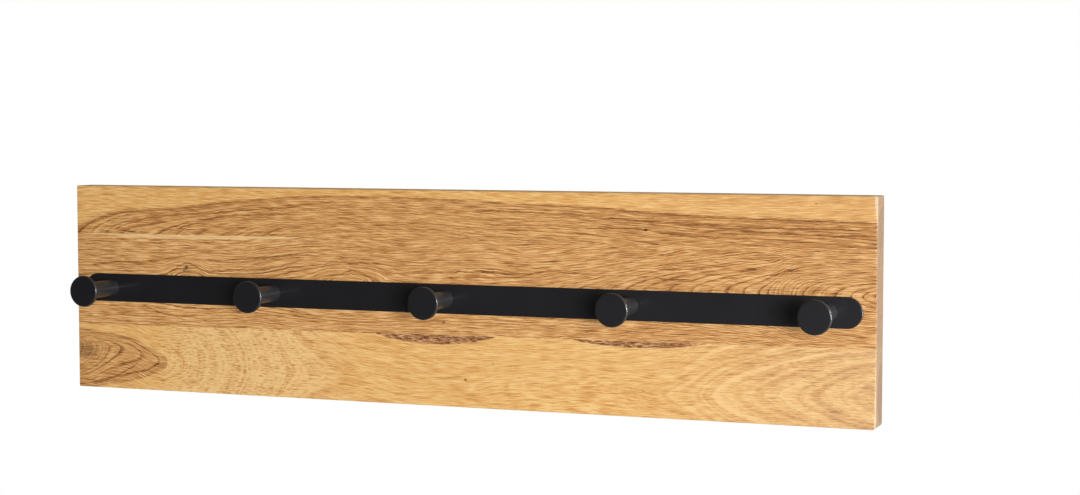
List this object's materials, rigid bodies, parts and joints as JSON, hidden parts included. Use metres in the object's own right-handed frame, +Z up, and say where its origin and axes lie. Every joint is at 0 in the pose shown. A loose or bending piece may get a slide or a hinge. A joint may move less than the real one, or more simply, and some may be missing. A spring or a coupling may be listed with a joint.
{
  "type": "wall hook rack",
  "caption": "Wall-mounted coat rack: an oak board edge-glued from staves, with a flat black steel rail that carries round flanged pegs; it hangs on keyhole plates let into the back.",
  "frame": {"origin": "centre of the board's back face, which lies against the wall", "axes": "+X along the rack to the right as seen from the room, +Y into the wall, +Z up"},
  "size_m": [0.6, 0.06, 0.15],
  "materials": {
    "oak_upper": "oiled oak, sapwood edge",
    "oak_middle": "oiled oak",
    "oak_lower": "oiled oak, mostly sapwood",
    "black_coat": "satin black powder coat",
    "zinc": "bright zinc plating"
  },
  "bodies": {
    "root": {"board_stave_upper": "oak_upper", "board_stave_middle": "oak_middle", "board_stave_lower": "oak_lower", "hook_rail": "black_coat", "peg_stem_1": "black_coat", "peg_stem_2": "black_coat", "peg_stem_3": "black_coat", "peg_stem_4": "black_coat", "peg_stem_5": "black_coat", "peg_disc_1": "black_coat", "peg_disc_2": "black_coat", "peg_disc_3": "black_coat", "peg_disc_4": "black_coat", "peg_disc_5": "black_coat", "peg_screw_1": "zinc", "peg_screw_2": "zinc", "peg_screw_3": "zinc", "peg_screw_4": "zinc", "peg_screw_5": "zinc", "peg_washer_1": "zinc", "peg_washer_2": "zinc", "peg_washer_3": "zinc", "peg_washer_4": "zinc", "peg_washer_5": "zinc", "keyhole_plate_left": "zinc", "keyhole_plate_right": "zinc", "plate_screw_left_outer": "zinc", "plate_screw_left_inner": "zinc", "plate_screw_right_outer": "zinc", "plate_screw_right_inner": "zinc"}
  },
  "joints": []
}
